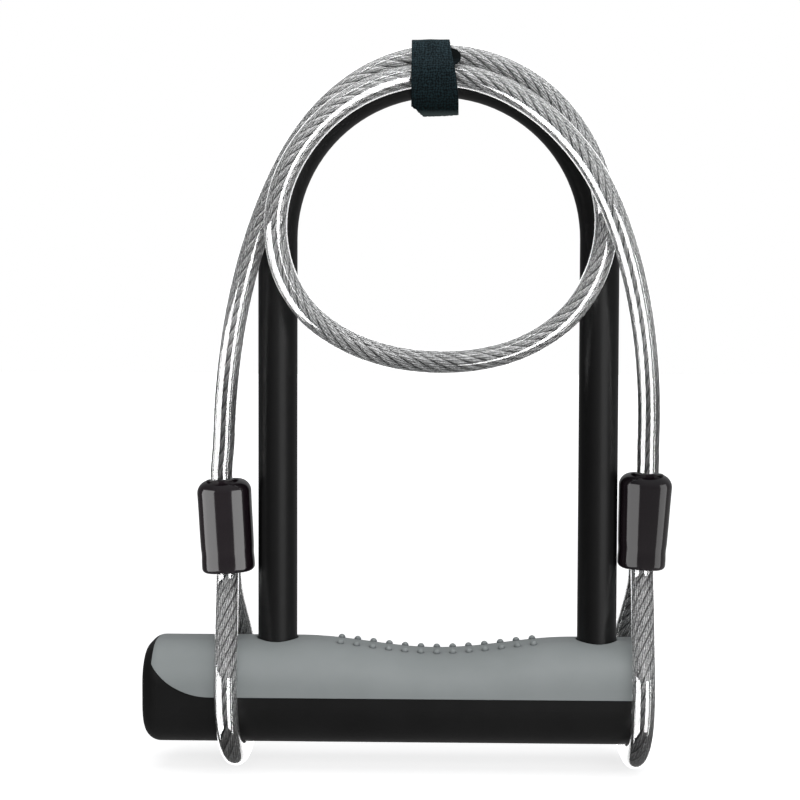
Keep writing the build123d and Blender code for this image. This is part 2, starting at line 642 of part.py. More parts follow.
def strap():
    """Hook-and-loop strap round the crown and the two strands, with its free end folded
    down over the front and hanging below the crown.
    """
    band = strap_hull(STRAP_T) - strap_hull(0.0)
    lap = strap_hull(2 * STRAP_T) - strap_hull(STRAP_T - 0.02)
    lap = lap & (Pos(UPPER_Y - 30, (LOWER_Z + LAP_Z1) / 2) * Rectangle(60, LAP_Z1 - LOWER_Z))
    tail_y = LOWER_Y - STRAP_CABLE_R - 1.5 * STRAP_T
    tail = Pos(tail_y, (TAIL_Z0 + TAIL_Z1) / 2) * Rectangle(STRAP_T, TAIL_Z1 - TAIL_Z0)
    return extrude(yz_plane(STRAP_X - STRAP_W / 2) * (band + lap + tail), STRAP_W)


# ---------------------------------------------------------------- build
outer_bar = bar(BAR_X0, BAR_X1, end_r=BAR_END_R)
all_bumps = grip_bumps()
save("grip_cover", grip_cover(outer_bar, all_bumps))
save("body_cover", body_cover(outer_bar, all_bumps))

for piece in (end_cap, crossbar_tube, cylinder_housing, key_plug, key_pins, driver_pins,
              driver_springs, plug_clip, locking_shaft, end_plug, keyhole_shutter,
              shutter_rivet, shackle_bow, shackle_sleeve, strap):
    save(piece.__name__, piece())

save("cylinder_pin", hollow_pin(1.25, 0.7, 8.7, CYL_PIN_X, CYL_PIN_Y))
save("end_plug_pin", hollow_pin(1.5, 0.8, 11.9, END_PIN_X))
save("shaft_bearing_left", shaft_bearing(LEFT_BEARING_X))
save("shaft_bearing_right", shaft_bearing(RIGHT_BEARING_X))
for name, side in SIDES:
    save(f"leg_seal_{name}", leg_seal(side))

coil_sheath, coil_rope = cable_coil()
save("cable_sheath_coil", coil_sheath)
save("cable_rope_coil", coil_rope)
for name, end in CABLE_ENDS.items():
    save(f"cable_rope_{name}", end.rope())
    save(f"cable_sheath_eye_{name}", end.eye_sheath())
    save(f"cable_sheath_drop_{name}", end.drop_sheath())
    save(f"ferrule_{name}", end.ferrule())
    save(f"boot_{name}", end.boot())
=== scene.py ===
"""A shackle standing on a crossbar, with a coiled steel cable in clear vinyl.

The crossbar lies along X at the foot, centred on Y = 0 with its underside at Z = 0, and the
shackle rises above it. The cable makes an eye round each end of the crossbar, leaves each eye
through a moulded boot, and coils up to a strap at the top of the shackle. The front is -Y and
the left is -X. Shapes are worked out in millimetres; the scene is in metres.
"""
import json
import math

import bpy
import numpy as np
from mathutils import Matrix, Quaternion, Vector


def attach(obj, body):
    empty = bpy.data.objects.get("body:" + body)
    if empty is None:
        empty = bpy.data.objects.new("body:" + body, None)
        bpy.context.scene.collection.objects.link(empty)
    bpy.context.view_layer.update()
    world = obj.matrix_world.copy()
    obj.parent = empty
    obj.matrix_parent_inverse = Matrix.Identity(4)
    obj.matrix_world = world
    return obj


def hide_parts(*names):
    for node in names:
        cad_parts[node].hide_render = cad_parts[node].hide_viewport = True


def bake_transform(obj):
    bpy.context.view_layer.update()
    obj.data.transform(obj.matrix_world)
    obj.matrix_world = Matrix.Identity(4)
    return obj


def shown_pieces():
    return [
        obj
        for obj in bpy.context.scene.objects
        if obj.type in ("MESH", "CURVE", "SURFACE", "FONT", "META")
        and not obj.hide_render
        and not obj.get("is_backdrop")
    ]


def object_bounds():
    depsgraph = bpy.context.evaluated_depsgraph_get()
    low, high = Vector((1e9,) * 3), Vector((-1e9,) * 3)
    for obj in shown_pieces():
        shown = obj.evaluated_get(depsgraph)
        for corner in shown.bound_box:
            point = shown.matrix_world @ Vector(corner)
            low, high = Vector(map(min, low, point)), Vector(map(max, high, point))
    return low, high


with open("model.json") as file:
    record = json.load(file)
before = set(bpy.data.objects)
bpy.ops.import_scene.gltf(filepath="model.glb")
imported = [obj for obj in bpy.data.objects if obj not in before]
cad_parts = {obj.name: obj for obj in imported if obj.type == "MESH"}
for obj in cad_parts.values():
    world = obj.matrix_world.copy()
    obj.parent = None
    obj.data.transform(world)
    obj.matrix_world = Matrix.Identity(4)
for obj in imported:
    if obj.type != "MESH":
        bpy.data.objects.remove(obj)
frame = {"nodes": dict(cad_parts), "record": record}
cad_lo, cad_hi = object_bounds()
NODES = frame["nodes"]
scene = bpy.context.scene
MM = 0.001

# ------------------------------------------------------------------ dimensions, mm
BAR_WIDTH, BAR_HEIGHT, BAR_CORNER_R = 37.0, 38.0, 15.0
CABLE_R = 4.2
EYE_GAP = 0.30                    # between the cable and the crossbar
STRAND_Y = 4.35                   # each of the two strands in a boot lies this far from Y = 0
BEND_R = 14.0                     # outward bend of the cable below the boot
FERRULE_FOOT, FERRULE_TOP = 5.0, 29.0            # heights along the boot's axis
STRAIGHT = [FERRULE_TOP, 23.0, 17.0, 11.0, FERRULE_FOOT, 2.5]    # straight run in the boot
SHEATH_CLEARANCE = 0.15           # from the end of a ferrule to the end of the sheath

STATION_STEP = 0.65               # spacing of the stations along the cable
SHEATH_SIDES, SHEATH_STRIDE = 32, 3              # stride counts stations
ROPE_STRIDE = 2
ROPE_LAY, WIRE_LAY = 34.0, 11.5   # length of one turn of a strand, and of a wire in it
CORE_R, CORE_SIDES = 0.98, 10
STRAND_ORBIT, STRAND_CORE_R = 2.00, 0.36
WIRE_ORBIT, WIRE_R, WIRE_SIDES = 0.655, 0.345, 5

STRAP_X = -1.8                    # where the cable changes from one run to the next
TAPE_THICK = 0.75
TAPE_TAIL = 16.0                  # free end hanging in front
TAPE_STEP = 0.45                  # spacing of the rows along the tape
TAPE_COLUMNS = 40
TAPE_LEFT = -9.9                  # x of the tape's left edge
CROWN_R, CROWN_PADDING, CROWN_Z = 7.25, 0.95, 244.4

# Each boot and eye. x, z: middle of the boot's foot; tilt: degrees about Y; height: of the boot.
# eye_x: x at the mouth, front shoulder, underside and rear shoulder.
# drop: cable points (x, y, z) above the boot. width, depth: of the boot at its foot and top.
EYES = {
    "left": dict(
        x=-77.5, z=62.6, tilt=3.3, height=34.2, eye_x=(-77.5, -75.8, -73.6, -73.6),
        drop=[(-78.95, -4.56, 107.67), (-78.46, -4.92, 116.69), (-77.94, -5.40, 125.66)],
        width=(19.4, 20.0), depth=(20.2, 20.8)),
    "right": dict(
        x=75.4, z=64.8, tilt=-2.6, height=35.0, eye_x=(75.4, 74.0, 72.6, 70.4),
        drop=[(77.04, -4.85, 108.66), (77.10, -5.58, 117.03), (76.95, -6.62, 125.31)],
        width=(17.4, 19.5), depth=(20.2, 20.8)),
}

# Centreline of the coil (x, y, z), from the left drop to the right drop.
COIL = [
    (-77.07, -6.05, 135.07), (-76.00, -6.72, 143.90), (-74.64, -7.41, 152.67),
    (-72.97, -8.07, 161.37), (-70.98, -8.65, 169.99), (-68.65, -9.16, 178.56),
    (-65.96, -9.73, 187.04), (-62.84, -10.68, 195.36), (-59.37, -11.26, 203.48),
    (-55.54, -11.46, 211.35), (-51.23, -11.49, 218.86), (-46.26, -11.45, 225.95),
    (-40.46, -11.33, 232.52), (-33.81, -11.11, 238.41), (-26.48, -10.81, 243.40),
    (-18.58, -10.46, 247.24), (-10.26, -10.15, 249.77), (-1.66, -9.90, 250.92),
    (7.05, -9.94, 250.64), (15.66, -10.12, 249.04), (23.96, -10.21, 246.15),
    (31.74, -10.36, 242.07), (38.77, -10.61, 236.84), (44.92, -10.91, 230.59),
    (50.15, -11.17, 223.50), (54.40, -11.35, 215.76), (57.63, -11.48, 207.52),
    (59.69, -11.60, 198.96), (60.30, -11.73, 190.22), (59.34, -11.80, 181.54),
    (56.89, -11.79, 173.18), (53.03, -11.68, 165.42), (47.87, -11.44, 158.52),
    (41.55, -11.14, 152.72), (34.23, -10.90, 148.07), (26.15, -10.86, 144.60),
    (17.52, -11.09, 142.31), (8.60, -11.55, 141.07), (-0.40, -12.13, 140.81),
    (-9.28, -12.66, 141.42), (-17.93, -13.32, 142.97), (-26.31, -14.00, 145.50),
    (-34.32, -14.72, 149.10), (-41.59, -15.48, 153.81), (-47.82, -16.27, 159.73),
    (-52.69, -17.06, 166.79), (-56.11, -17.76, 174.73), (-58.00, -18.26, 183.20),
    (-58.30, -18.59, 191.88), (-56.91, -19.01, 200.40), (-53.99, -19.50, 208.57),
    (-49.81, -19.57, 216.20), (-44.59, -19.37, 223.14), (-38.50, -18.95, 229.20),
    (-31.61, -18.25, 234.32), (-24.00, -17.26, 238.45), (-15.78, -16.08, 241.49),
    (-7.15, -14.99, 243.31), (1.59, -14.60, 243.75), (10.20, -14.92, 242.72),
    (18.45, -15.65, 240.29), (26.27, -16.59, 236.66), (33.59, -17.60, 231.99),
    (40.35, -18.61, 226.44), (46.46, -19.50, 220.16), (51.88, -20.18, 213.31),
    (56.54, -20.55, 206.03), (60.44, -20.48, 198.47), (63.73, -19.88, 190.67),
    (66.66, -18.70, 182.63), (69.24, -17.04, 174.39), (71.48, -15.09, 165.94),
    (73.34, -13.02, 157.30), (74.83, -11.08, 148.52), (75.95, -9.08, 139.62),
]


# ------------------------------------------------------------------ curves and meshes
def smooth01(x):
    """Smooth step from 0 to 1."""
    x = np.clip(x, 0, 1)
    return x * x * (3 - 2 * x)


def lengths(points):
    """Length along a polyline at each of its points."""
    return np.r_[0, np.cumsum(np.linalg.norm(np.diff(points, axis=0), axis=1))]


def unit(vectors):
    return vectors / np.linalg.norm(vectors, axis=1)[:, None]


def spline(points, samples_per_10mm=40):
    """Natural cubic through the points, as a dense polyline."""
    p = np.asarray(points, float)
    h = np.diff(lengths(p))
    count = len(p)
    system = np.zeros((count, count))
    right_side = np.zeros((count, 3))
    system[0, 0] = system[-1, -1] = 1
    for i in range(1, count - 1):
        system[i, i - 1:i + 2] = h[i - 1], 2 * (h[i - 1] + h[i]), h[i]
        right_side[i] = 6 * ((p[i + 1] - p[i]) / h[i] - (p[i] - p[i - 1]) / h[i - 1])
    second = np.linalg.solve(system, right_side)       # second derivatives at the points
    pieces = []
    for i in range(count - 1):
        samples = max(2, int(h[i] * samples_per_10mm / 10))
        u = np.linspace(0, 1, samples, endpoint=False)[:, None] * h[i]
        a, b = second[i], second[i + 1]
        pieces.append((a * (h[i] - u) ** 3 + b * u ** 3) / (6 * h[i])
                      + (p[i] / h[i] - a * h[i] / 6) * (h[i] - u)
                      + (p[i + 1] / h[i] - b * h[i] / 6) * u)
    pieces.append(p[-1:])
    return np.concatenate(pieces)


def resample(points, step):
    """The polyline at an even step, and the length along it at each new point."""
    s = lengths(points)
    count = max(2, int(round(s[-1] / step)))
    u = np.linspace(0, s[-1], count + 1)
    return np.stack([np.interp(u, s, points[:, k]) for k in range(3)], 1), u


def carried_frames(points):
    """Tangents and two normals carried along the polyline without twist."""
    tangent = unit(np.gradient(points, axis=0))
    normal = np.zeros_like(tangent)
    seed = np.cross(tangent[0], [0.3, 1.0, 0.2])
    normal[0] = seed / np.linalg.norm(seed)
    for i in range(1, len(tangent)):
        v = normal[i - 1] - tangent[i] * np.dot(normal[i - 1], tangent[i])
        normal[i] = v / np.linalg.norm(v)
    return tangent, normal, np.cross(tangent, normal)


def grid_faces(rows, cols, base=0, closed=True):
    """Quads of a rows x cols lattice of vertices, its columns closed into a ring or open."""
    faces = []
    for i in range(rows - 1):
        for j in range(cols if closed else cols - 1):
            low, high, following = base + i * cols, base + (i + 1) * cols, (j + 1) % cols
            faces.append((low + j, low + following, high + following, high + j))
    return faces


def mesh_object(name, verts, faces):
    """Smooth object from vertices in mm; the sign of its volume turns its faces outward."""
    v = np.asarray(verts, float)
    tri = np.array([(f[0], f[k], f[k + 1]) for f in faces for k in range(1, len(f) - 1)])
    volume = np.einsum("ij,ij->i", v[tri[:, 0]], np.cross(v[tri[:, 1]], v[tri[:, 2]])).sum()
    if volume < 0:
        faces = [tuple(reversed(f)) for f in faces]
    mesh = bpy.data.meshes.new(name)
    mesh.from_pydata((v * MM).tolist(), [], [tuple(int(i) for i in f) for f in faces])
    mesh.validate()
    mesh.update()
    shade_smooth(mesh)
    ob = bpy.data.objects.new(name, mesh)
    scene.collection.objects.link(ob)
    return ob


def shade_smooth(mesh):
    mesh.polygons.foreach_set("use_smooth", [True] * len(mesh.polygons))


# ------------------------------------------------------------------ cable centreline
def axis_point(eye, s, y):
    """Point at height s along a boot's tilted axis."""
    tilt = math.radians(eye["tilt"])
    return (eye["x"] - math.sin(tilt) * s, y, eye["z"] + math.cos(tilt) * s)


def eye_points(eye):
    """Loop from the front of the boot's mouth, under the crossbar, to the rear of the mouth.

    Each side bends outward, runs straight on to the bar's upper corner and follows its outline.
    """
    corner_run = BAR_CORNER_R + CABLE_R + EYE_GAP
    face_y = BAR_WIDTH / 2 + CABLE_R + EYE_GAP
    corner_y = BAR_WIDTH / 2 - BAR_CORNER_R
    shoulder_z = BAR_HEIGHT - BAR_CORNER_R
    bend_y, bend_z = STRAND_Y + BEND_R, eye["z"]
    span = math.hypot(bend_y - corner_y, bend_z - shoulder_z)
    lean = (math.asin((BEND_R + corner_run) / span)
            - math.atan2(bend_y - corner_y, bend_z - shoulder_z))

    def shoulder(angle):
        return (corner_y + corner_run * math.cos(angle), shoulder_z + corner_run * math.sin(angle))

    # (distance from Y = 0, z) down one side
    side = [(bend_y - BEND_R * math.cos(lean * k / 3), bend_z - BEND_R * math.sin(lean * k / 3))
            for k in range(4)]
    start, joint = side[3], shoulder(lean)
    side += [(start[0] + (joint[0] - start[0]) * k / 3, start[1] + (joint[1] - start[1]) * k / 3)
             for k in (1, 2)]
    side += [shoulder(lean * k / 3) for k in (3, 2, 1, 0)]
    shoulder_index = len(side) - 1
    side += [(face_y, BAR_HEIGHT / 2), (face_y, BAR_CORNER_R)]
    side += [(corner_y + corner_run * math.cos(math.radians(22.5 * k)),
              BAR_CORNER_R - corner_run * math.sin(math.radians(22.5 * k))) for k in (1, 2, 3, 4)]

    travelled = [0.0]
    for i in range(1, len(side)):
        travelled.append(travelled[-1] + math.dist(side[i], side[i - 1]))
    total = travelled[-1] + corner_y
    x_mouth, x_front, x_low, x_rear = eye["eye_x"]

    def x_at(i, x_shoulder):
        u, turn = travelled[i] / total, travelled[shoulder_index] / total
        if u < turn:
            return x_mouth + (x_shoulder - x_mouth) * smooth01(u / turn)
        return x_shoulder + (x_low - x_shoulder) * smooth01((u - turn) / (1 - turn))

    front = [(x_at(i, x_front), -p[0], p[1]) for i, p in enumerate(side)]
    rear = [(x_at(i, x_rear), p[0], p[1]) for i, p in enumerate(side)]
    return front + [(x_low, 0, BAR_CORNER_R - corner_run)] + rear[::-1]


def end_points(eye):
    """From the tail in the ferrule, round the eye, through the ferrule, up the drop."""
    tail = [axis_point(eye, s, STRAND_Y) for s in STRAIGHT]
    above = [eye["height"] - 0.5, eye["height"] + 2.0]
    rise = [axis_point(eye, s, -STRAND_Y) for s in STRAIGHT[::-1] + above]
    return tail + eye_points(eye)[::-1] + rise + eye["drop"]


line, arc = resample(
    spline(end_points(EYES["left"]) + COIL + end_points(EYES["right"])[::-1]), STATION_STEP)
tangents, normals, binormals = carried_frames(line)


def sheath_ends(eye):
    """Stations where the sheath stops: eye at the tail, eye at the rise, foot of the drop."""
    ends = ((FERRULE_FOOT - SHEATH_CLEARANCE, STRAND_Y),
            (FERRULE_FOOT - SHEATH_CLEARANCE, -STRAND_Y),
            (FERRULE_TOP + SHEATH_CLEARANCE, -STRAND_Y))
    return [int(np.argmin(np.linalg.norm(line - np.asarray(axis_point(eye, s, y)), axis=1)))
            for s, y in ends]


left_tail, left_rise, left_drop = sheath_ends(EYES["left"])
right_tail, right_rise, right_drop = sheath_ends(EYES["right"])
# the cable passes under the strap twice, the first time higher up
strap_upper, strap_lower = [i for i in range(1, len(line)) if line[i, 2] > 235
                            and line[i - 1, 0] <= STRAP_X < line[i, 0]][:2]


# ------------------------------------------------------------------ strap centreline
def tape_path():
    """Path of the tape in the YZ plane, wound round the crown and both strands.

    Gives, along the tape: length, y, z, outward normal y and z, and how far it is lapped.
    """
    discs = [(0.0, CROWN_Z, CROWN_R + CROWN_PADDING),            # y, z, radius
             (line[strap_upper, 1], line[strap_upper, 2] - 0.15, 4.55),
             (line[strap_lower, 1], line[strap_lower, 2] - 0.25, 4.65)]
    lap_from, lap_over = 425, 30                 # degrees
    points, lapped = [], []
    # 90 = top, 180 = front (-Y), 270 = below, 360 = rear, 450 = top again, 540 = front
    for degrees in np.arange(100, 541, 3):
        lap = smooth01((degrees - lap_from) / lap_over)
        grow = TAPE_THICK / 2 + 0.02 + lap * (TAPE_THICK + 0.12)
        theta = math.radians(degrees)
        ny, nz = math.cos(theta), math.sin(theta)
        y, z, r = max(discs, key=lambda d: d[0] * ny + d[1] * nz + d[2])
        points.append((y + (r + grow) * ny, z + (r + grow) * nz))
        lapped.append(lap)
    y0, z0 = points[-1]
    for down in (2.5, 5.0, 7.5, 10.0, 12.5, 14.8, TAPE_TAIL):
        part = down / TAPE_TAIL
        points.append((y0 - 0.25 * part + 0.5 * math.sin(part * math.pi) * 0.4, z0 - down))
        lapped.append(1.0)
    points = np.array(points)
    s = lengths(points)
    u = np.linspace(0, s[-1], int(s[-1] / TAPE_STEP) + 1)
    y, z, lap = (np.interp(u, s, column) for column in (points[:, 0], points[:, 1], lapped))
    for _ in range(2):                           # soften the joins between arcs and flats
        for c in (y, z):
            c[1:-1] = (c[:-2] + 2 * c[1:-1] + c[2:]) / 4
    ty, tz = np.gradient(y), np.gradient(z)
    size = np.hypot(ty, tz)
    return u, y, z, tz / size, -ty / size, lap


tape = tape_path()
TAPE_LENGTH = tape[0][-1]


# ------------------------------------------------------------------ node trees
def rgba(colour):
    """Full colour from a grey level, three values or four."""
    if isinstance(colour, (int, float)):
        colour = (colour,) * 3
    return colour if len(colour) == 4 else (*colour, 1)


class Nodes:
    """Builder for a node tree. A node given as a value stands for its first output."""

    def __init__(self, owner, output):
        owner.use_nodes = True
        self.tree = owner.node_tree
        self.tree.nodes.clear()
        self.output = self.node(output)
        self.coords = self.node("TexCoord").outputs

    def feed(self, socket, value):
        if isinstance(value, bpy.types.Node):
            value = value.outputs[0]
        if isinstance(value, bpy.types.NodeSocket):
            self.tree.links.new(value, socket)
        else:
            socket.default_value = rgba(value) if socket.type == "RGBA" else value

    def node(self, kind, *values, **settings):
        """New node; values feed its first inputs, settings name an input or a property."""
        n = self.tree.nodes.new("ShaderNode" + kind)
        for key, value in settings.items():
            if key in n.inputs.keys():
                self.feed(n.inputs[key], value)
            else:
                setattr(n, key, value)
        for socket, value in zip(n.inputs, values):
            self.feed(socket, value)
        return n

    def surface(self, shader):
        self.feed(self.output.inputs[0], shader)

    def calc(self, operation, *values):
        return self.node("Math", *values, operation=operation)

    def scaled(self, value, gain, offset):
        return self.calc("ADD", self.calc("MULTIPLY", value, gain), offset)

    def ramp(self, fac, *stops):
        """Colour ramp; each stop is (position, colour or grey level)."""
        n = self.node("ValToRGB", fac)
        elements = n.color_ramp.elements
        while len(elements) < len(stops):
            elements.new(0.5)
        for element, (position, colour) in zip(elements, stops):
            element.position = position
            element.color = rgba(colour)
        return n

    def map_range(self, value, source, target=(0.0, 1.0), smooth=False):
        return self.node("MapRange", interpolation_type="SMOOTHSTEP" if smooth else "LINEAR",
                         **{"Value": value, "From Min": source[0], "From Max": source[1],
                            "To Min": target[0], "To Max": target[1]})

    def mix(self, fac, a, b, blend="MIX"):
        n = self.node("Mix", data_type="RGBA", blend_type=blend)
        for index, value in ((0, fac), (6, a), (7, b)):          # the colour sockets
            self.feed(n.inputs[index], value)
        return n.outputs[2]

    def multiply(self, a, b):
        return self.mix(1.0, a, b, blend="MULTIPLY")

    def seen_directly(self):
        """1 for camera rays, also straight through the vinyl; 0 once light has bounced."""
        path = self.node("LightPath").outputs
        bounces = self.calc("ADD", path["Glossy Depth"], path["Diffuse Depth"])
        unbent = self.calc("SUBTRACT", 1.0, self.calc("MINIMUM", bounces, 1.0))
        through = self.calc("MULTIPLY", path["Is Transmission Ray"], unbent)
        return self.calc("MAXIMUM", path["Is Camera Ray"], through)


class Mat(Nodes):
    """Material with a principled surface."""

    INPUTS = {"color": "Base Color", "rough": "Roughness", "metal": "Metallic",
              "normal": "Normal", "spec": "Specular IOR Level", "coat": "Coat Weight",
              "coat_rough": "Coat Roughness", "sheen": "Sheen Weight",
              "sheen_rough": "Sheen Roughness", "sheen_tint": "Sheen Tint",
              "trans": "Transmission Weight", "ior": "IOR"}

    def __init__(self, name):
        self.material = bpy.data.materials.new(name)
        super().__init__(self.material, "OutputMaterial")
        self.place = self.coords["Object"]
        self.principled = self.node("BsdfPrincipled")
        self.surface(self.principled)

    def set(self, **values):
        for key, value in values.items():
            self.feed(self.principled.inputs[self.INPUTS[key]], value)

    def stretched(self, scale):
        return self.node("Mapping", Vector=self.place, Scale=scale)

    def noise(self, scale, detail=4.0, rough=0.55, vec=None):
        return self.node("TexNoise", Vector=vec or self.place, Scale=scale, Detail=detail,
                         Roughness=rough).outputs["Fac"]

    def bump(self, height, strength, distance):
        return self.node("Bump", Height=height, Strength=strength, Distance=distance)

    def occlusion(self, samples, distance):
        return self.node("AmbientOcclusion", samples=samples, only_local=True,
                         Distance=distance).outputs["AO"]


# ------------------------------------------------------------------ materials
# Noise scales are per metre; bump and occlusion distances are in metres.
def plastic(name, dark, light, rough, grain=2600.0, grain_depth=0.00003, mottle=45.0, spec=0.5,
            painted_shade_reach=None):
    """Moulded plastic: fine grain, slow colour drift, roughness that wanders, and painted shade
    round raised details when a reach is given.
    """
    rough_drift = 0.06
    m = Mat(name)
    slow = m.noise(mottle, detail=3)
    fine = m.noise(grain, detail=2, rough=0.6)
    tone = m.mix(m.ramp(slow, (0.35, 0), (0.65, 1)), dark, light)
    if painted_shade_reach:                     # painted shade round small raised details, darkening within this reach
        painted_shade = m.ramp(m.occlusion(samples=8, distance=painted_shade_reach),
                      (0.45, (0.30, 0.30, 0.31)), (0.97, 1))
        tone = m.multiply(tone, painted_shade)
    m.set(color=tone, spec=spec, normal=m.bump(fine, strength=0.35, distance=grain_depth),
          rough=m.scaled(m.noise(mottle * 6, detail=3), gain=rough_drift * 2,
                         offset=rough - rough_drift))
    return m.material


def metal(name, base, rough, scratch=(40, 900, 900)):
    """Metal with drawn lines and tarnish; scratch is the lines' noise scale along x, y, z."""
    tarnish = 0.192               # share of the colour lost in the dark patches
    m = Mat(name)
    lines = m.noise(1.0, detail=5, rough=0.7, vec=m.stretched(scratch))
    patch = m.noise(120.0, detail=5)
    dark = tuple(c * (1 - tarnish) for c in base)
    m.set(color=m.mix(m.ramp(patch, (0.3, 0), (0.75, 1)), dark, base), metal=1.0,
          rough=m.scaled(lines, gain=0.22, offset=rough - 0.08),
          normal=m.bump(lines, strength=0.25, distance=0.00001))
    return m.material


def rope_material():
    """Dull steel wire, dark between the wires, with painted light and shade that change with height.
    """
    m = Mat("mat_rope_steel")
    cavity = m.ramp(m.occlusion(samples=4, distance=0.0007), (0.15, 0.26), (0.70, 1))
    dull = m.ramp(m.noise(1500.0, detail=3), (0.35, 0.25), (0.65, 0.66))
    height = m.node("SeparateXYZ", m.place).outputs[2]
    # painted light and shade by height: the two drops above the boots are painted darker, and the
    # coil is painted brighter than the eyes
    drop = m.map_range(height, (0.088, 0.100), (1.0, 0.42), smooth=True)
    coil = m.map_range(height, (0.126, 0.150), (0.0, 0.78), smooth=True)
    # painted shade where it passes under the bar
    under_bar_shade = m.map_range(height, (0.006, 0.034), (0.34, 1.0), smooth=True)
    level = m.calc("MULTIPLY", m.calc("ADD", drop, coil), under_bar_shade)
    shade = m.node("CombineColor", level, level, level)
    m.set(color=m.multiply(m.multiply(dull, shade), cavity), metal=0.85,
          rough=m.scaled(m.noise(2500.0), gain=0.25, offset=0.22))
    return m.material


def vinyl_material():
    """Clear vinyl: refracts for the camera and in mirrors, lets direct light through to the rope."""
    m = Mat("mat_clear_vinyl")
    wave = m.noise(260.0, detail=3, rough=0.5, vec=m.stretched((1, 1, 0.35)))
    m.set(color=(0.98, 0.984, 0.984), rough=0.02, trans=1.0, ior=1.46, spec=0.9, coat=0.9,
          coat_rough=0.02, normal=m.bump(wave, strength=0.03, distance=0.00010))
    clear = m.node("BsdfTransparent", Color=(0.94, 0.946, 0.946))
    path = m.node("LightPath").outputs
    let_through = m.calc("MAXIMUM", path["Is Shadow Ray"], path["Is Diffuse Ray"])
    m.surface(m.node("MixShader", let_through, m.principled, clear))
    return m.material


def boot_material():
    """Glossy, nearly black moulding with a slightly wavy surface."""
    m = Mat("mat_boot_gloss")
    drift = m.ramp(m.noise(70.0, detail=3), (0.35, 0), (0.65, 1))
    m.set(color=m.mix(drift, (0.0060, 0.0036, 0.0052), (0.0085, 0.0055, 0.0072)),
          rough=m.scaled(m.noise(500.0, detail=3), gain=0.05, offset=0.10),
          spec=0.62, coat=0.35, coat_rough=0.06,
          normal=m.bump(m.noise(160.0, detail=2), strength=0.12, distance=0.00012))
    return m.material


def strap_material():
    """Woven tape: over-and-under weave from two crossed waves, with a pile over it."""
    pitch_across, pitch_along = 1.9, 2.1             # of the weave, mm
    start_fade = (9.0, 16.0)                         # mm along the tape
    end_fade = (TAPE_LENGTH - 2.6, TAPE_LENGTH - 0.9)
    m = Mat("mat_strap_fabric")
    uv = m.node("SeparateXYZ", m.node("UVMap", uv_map="tape")).outputs
    wander = m.calc("MULTIPLY", m.noise(600.0, detail=3), 2.6)   # threads are not dead straight
    across = m.calc("MULTIPLY", m.calc("ADD", uv[0], wander), 2 * math.pi / pitch_across)
    along = m.calc("MULTIPLY", m.calc("ADD", uv[1], wander), 2 * math.pi / pitch_along)
    weave = m.calc("MULTIPLY", m.calc("SINE", m.calc("ADD", across, along)),
                   m.calc("SINE", m.calc("SUBTRACT", across, along)))
    pile = m.noise(2200.0, detail=3, rough=0.7)
    height = m.calc("ADD", m.calc("MULTIPLY", weave, 0.5), m.calc("MULTIPLY", pile, 1.4))
    # painted light: threads, raised and sunk, are painted paler towards the top
    high = m.map_range(m.node("SeparateXYZ", m.place).outputs[2], (0.2310, 0.2560))
    over = m.mix(high, (0.0050, 0.0190, 0.0220), (0.0480, 0.0840, 0.1020))
    under = m.mix(high, (0.0004, 0.0020, 0.0024), (0.0080, 0.0150, 0.0185))
    thread = m.calc("ADD", m.calc("MULTIPLY", weave, 0.35),
                    m.calc("MULTIPLY", m.noise(1300.0, detail=2), 1.0))
    tone = m.mix(m.ramp(thread, (0.30, 0), (0.80, 1)), under, over)
    worn = m.multiply(tone, m.ramp(m.noise(150.0, detail=4), (0.35, 0.78), (0.7, 1)))
    # the start of the tape, the lap underneath, is darker, and the cut end is paler
    tone = m.mix(m.map_range(uv[1], start_fade), (0.0018, 0.0034, 0.0040), worn)
    tone = m.mix(m.map_range(uv[1], end_fade), tone, (0.050, 0.066, 0.066))
    m.set(color=tone, rough=0.86, spec=0.15, sheen=0.06, sheen_rough=0.45,
          sheen_tint=(0.45, 0.62, 0.62), normal=m.bump(height, strength=0.6, distance=0.00012))
    return m.material


MATS = {
    "cover_black": plastic("mat_cover_black", dark=(0.0104, 0.0103, 0.0104),
                           light=(0.0142, 0.0141, 0.0142), rough=0.42, spec=0.26),
    # the grey cover gets painted shade round its bumps, within 2.2 mm
    "cover_grey": plastic("mat_cover_grey", dark=(0.346, 0.375, 0.375),
                          light=(0.374, 0.403, 0.404), rough=0.42, grain=3400.0,
                          grain_depth=0.00002, spec=0.35, painted_shade_reach=0.0022),
    "sleeve_vinyl": plastic("mat_sleeve_vinyl", dark=(0.0030, 0.0030, 0.0032),
                            light=(0.0044, 0.0044, 0.0046), rough=0.36, grain=1800.0,
                            grain_depth=0.00002, mottle=30.0),
    "seal_rubber": plastic("mat_seal_rubber", dark=0.007, light=0.011, rough=0.7),
    "bearing_plastic": plastic("mat_bearing", dark=(0.62, 0.61, 0.57),
                               light=(0.68, 0.67, 0.63), rough=0.45),
    "tube_steel": metal("mat_tube_steel", base=(0.42, 0.42, 0.43), rough=0.38),
    "bow_steel": metal("mat_bow_steel", base=(0.62, 0.62, 0.63), rough=0.24,
                       scratch=(900, 900, 60)),
    "bright_steel": metal("mat_bright_steel", base=(0.66, 0.66, 0.67), rough=0.25),
    "brass": metal("mat_brass", base=(0.62, 0.44, 0.17), rough=0.28, scratch=(900, 300, 300)),
    "ferrule_metal": metal("mat_ferrule", base=(0.68, 0.68, 0.69), rough=0.35,
                           scratch=(200, 200, 60)),
    "shutter_metal": metal("mat_shutter", base=(0.09, 0.09, 0.10), rough=0.34,
                           scratch=(500, 60, 500)),
    "rope_steel": rope_material(),
    "clear_vinyl": vinyl_material(),
    "boot_gloss": boot_material(),
    "strap_fabric": strap_material(),
}

